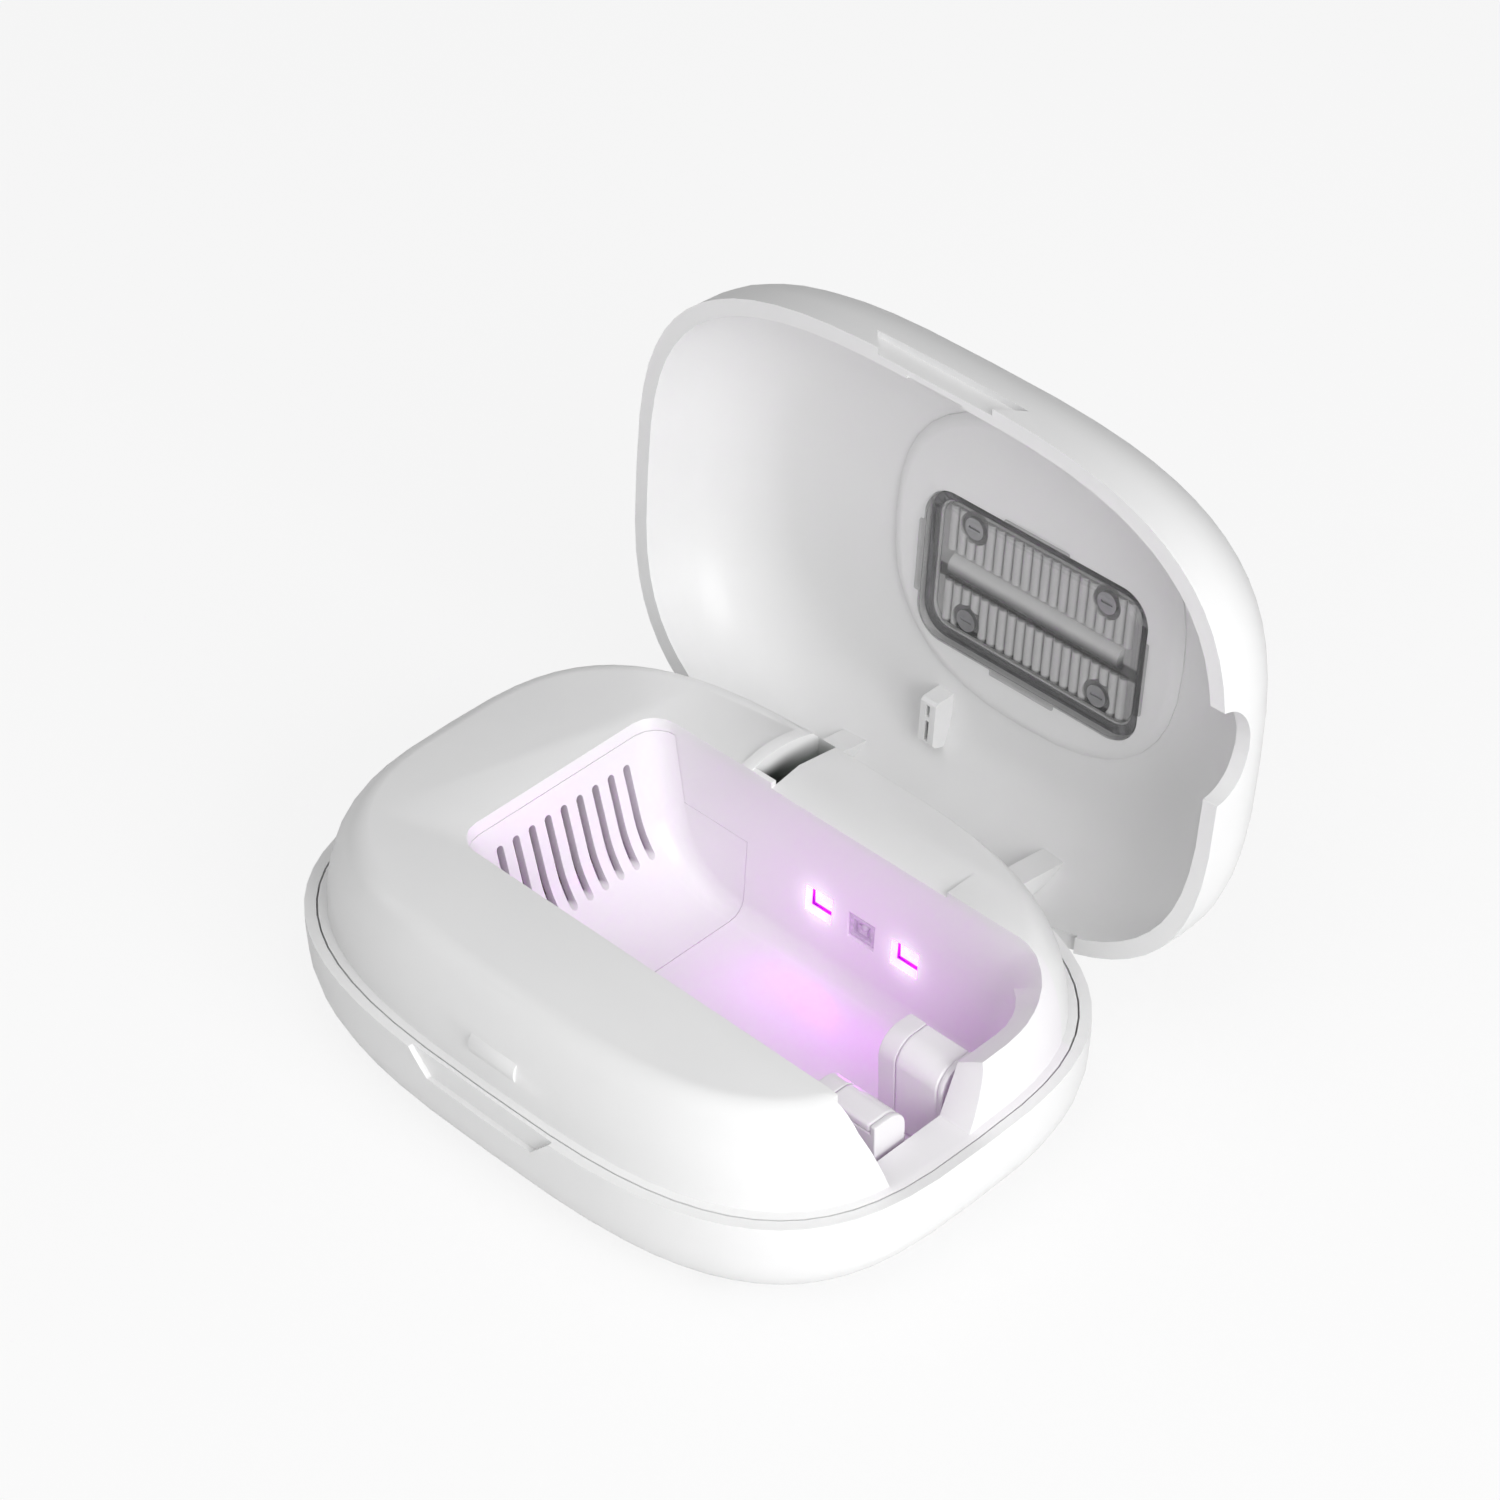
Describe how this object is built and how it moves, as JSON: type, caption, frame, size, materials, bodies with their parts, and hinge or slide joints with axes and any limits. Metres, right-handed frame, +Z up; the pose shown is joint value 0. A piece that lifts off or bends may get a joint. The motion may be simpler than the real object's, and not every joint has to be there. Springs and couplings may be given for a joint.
{
  "type": "toothbrush travel case",
  "caption": "Pebble-shaped hinged travel case for a toothbrush head, with a domed deck round a drying chamber, a slotted vent, lights, a neck rest and a lens in the open lid.",
  "frame": {"origin": "middle of the flat underside", "axes": "+X along the case towards the handle exit, +Y towards the hinge, +Z up"},
  "size_m": [0.09, 0.0864, 0.0733],
  "materials": {
    "white_plastic": "moulded gloss white",
    "grey_plastic": "moulded light grey",
    "soft_pad": "soft pale silicone",
    "circuit_board": "green solder mask",
    "led_case": "pale lamp housing",
    "steel": "plain steel",
    "cell_wrap": "shrink wrapped cell",
    "black_plastic": "black moulding",
    "heater_metal": "bare finned metal",
    "smoked_lens": "clear smoked window",
    "seal_rubber": "foam seal",
    "flute_plastic": "fluted reflector",
    "clear_rod": "clear half rod",
    "magnet": "nickel plate"
  },
  "bodies": {
    "base": {"base_shell": "white_plastic", "deck": "white_plastic", "vent_block": "white_plastic", "neck_rest": "grey_plastic", "rear_neck_pad": "soft_pad", "front_neck_pad": "soft_pad", "led_board": "circuit_board", "uva_leds": "led_case", "uvc_led": "led_case", "main_board": "circuit_board", "usb_board": "circuit_board", "usb_socket": "steel", "battery": "cell_wrap", "fan_frame": "black_plastic", "heater": "heater_metal", "sensor_board": "circuit_board", "hinge_pins": "steel", "deck_screws": "steel", "board_screws": "steel"},
    "rotor": {"fan_rotor": "black_plastic"},
    "lid": {"lid_shell": "white_plastic", "lens_cover": "smoked_lens", "lens_seal": "seal_rubber", "flute_plate": "flute_plastic", "light_rod": "clear_rod", "lens_screws": "steel", "lid_magnet": "magnet"}
  },
  "joints": [
    {"name": "lid_hinge", "type": "hinge", "parent": "base", "child": "lid", "pos_m": [0, 0.0297, 0.011], "axis": [1, 0, 0], "range_deg": [0, 95]},
    {"name": "fan_spin", "type": "hinge", "parent": "base", "child": "rotor", "pos_m": [-0.03, 0.0014, 0.0145], "axis": [1, 0, 0], "continuous": true}
  ]
}
